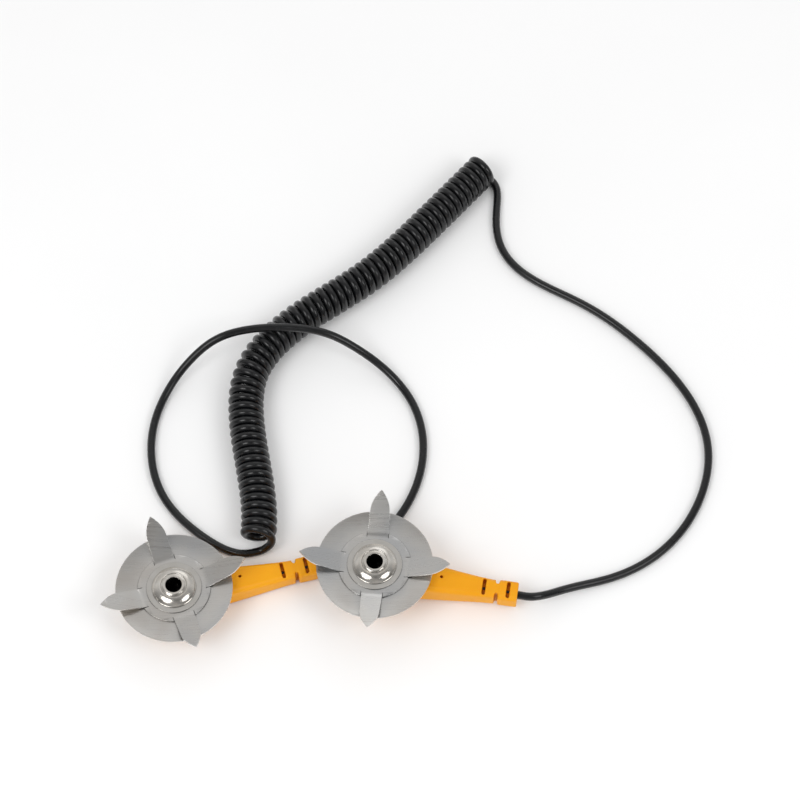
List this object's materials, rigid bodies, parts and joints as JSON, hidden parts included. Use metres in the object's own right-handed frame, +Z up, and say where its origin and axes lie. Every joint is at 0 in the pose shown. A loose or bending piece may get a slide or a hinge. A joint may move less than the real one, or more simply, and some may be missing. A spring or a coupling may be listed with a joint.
{
  "type": "double-ended coiled grounding cord",
  "caption": "Coiled static-control ground cord: moulded snap plugs at both ends, each snapped to a steel disc with claws that grip a rubber mat.",
  "frame": {"origin": "on the left snap's axis, at the flat underside of the left plug, in the bench plane", "axes": "+Z up off the bench, +X towards the right plug, +Y towards the coil"},
  "size_m": [0.2016, 0.1915, 0.0206],
  "materials": {
    "moulded_pvc": "soft moulded PVC, satin, yellow-orange",
    "cord_jacket": "black polyurethane jacket, semi-gloss",
    "stamped_steel": "stamped stainless sheet, as rolled, lightly scuffed",
    "nickel_plate": "bright nickel plate, satin from tumbling",
    "spring_steel": "drawn spring wire",
    "brass_strip": "stamped brass strip",
    "resistor_coat": "lacquered resistor body",
    "tinned_wire": "tinned copper",
    "tinsel_copper": "stranded tinsel copper"
  },
  "bodies": {
    "coil_middle": {"coil_lower": "cord_jacket", "coil_bend": "cord_jacket", "coil_upper": "cord_jacket"},
    "left_cord": {"left_lead": "cord_jacket"},
    "right_cord": {"right_lead": "cord_jacket"},
    "left_plug": {"left_plug_body": "moulded_pvc", "left_snap_socket": "nickel_plate", "left_contact_tag": "brass_strip", "left_resistor": "resistor_coat", "left_resistor_leads": "tinned_wire", "left_crimp_ferrule": "tinned_wire", "left_conductor_end": "tinsel_copper", "left_cord_tail": "cord_jacket"},
    "left_snap_ring": {"left_ring_spring": "spring_steel"},
    "left_disc": {"left_mat_disc": "stamped_steel", "left_claw_washer": "stamped_steel", "left_pressure_washer": "nickel_plate", "left_eyelet": "nickel_plate", "left_snap_stud": "nickel_plate"},
    "right_plug": {"right_plug_body": "moulded_pvc", "right_snap_socket": "nickel_plate", "right_contact_tag": "brass_strip", "right_resistor": "resistor_coat", "right_resistor_leads": "tinned_wire", "right_crimp_ferrule": "tinned_wire", "right_conductor_end": "tinsel_copper", "right_cord_tail": "cord_jacket"},
    "right_snap_ring": {"right_ring_spring": "spring_steel"},
    "right_disc": {"right_mat_disc": "stamped_steel", "right_claw_washer": "stamped_steel", "right_pressure_washer": "nickel_plate", "right_eyelet": "nickel_plate", "right_snap_stud": "nickel_plate"}
  },
  "joints": [
    {"name": "coil_stretch", "type": "slide", "parent": "coil_middle", "child": "right_cord", "axis": [0.6813, 0.732, 0], "range_m": [0, 0.39]},
    {"name": "coil_stretch_lower", "type": "slide", "parent": "coil_middle", "child": "left_cord", "axis": [0.0951, -0.9955, 0], "range_m": [0, 0.27]},
    {"name": "left_boot_flex", "type": "hinge", "parent": "left_cord", "child": "left_plug", "pos_m": [0.04605, 0.01165, 0.0034], "axis": [-0.2453, 0.9694, 0], "range_deg": [0, 30]},
    {"name": "left_disc_swivel", "type": "hinge", "parent": "left_plug", "child": "left_snap_ring", "pos_m": [0, 0, 0.0093], "axis": [0, 0, 1], "continuous": true},
    {"name": "left_disc_unsnap", "type": "slide", "parent": "left_snap_ring", "child": "left_disc", "axis": [0, 0, 1], "range_m": [0, 0.012], "deforming": ["left_ring_spring"]},
    {"name": "right_boot_flex", "type": "hinge", "parent": "right_cord", "child": "right_plug", "pos_m": [0.11199, 0, 0.0064], "axis": [0.1461, 0.9893, 0], "range_deg": [0, 30]},
    {"name": "right_disc_swivel", "type": "hinge", "parent": "right_plug", "child": "right_snap_ring", "pos_m": [0.065, 0.00694, 0.0123], "axis": [0, 0, 1], "continuous": true},
    {"name": "right_disc_unsnap", "type": "slide", "parent": "right_snap_ring", "child": "right_disc", "axis": [0, 0, 1], "range_m": [0, 0.012], "deforming": ["right_ring_spring"]}
  ],
  "couplings": [
    {"joint": "coil_stretch_lower", "follows": "coil_stretch", "ratio": 0.68}
  ]
}
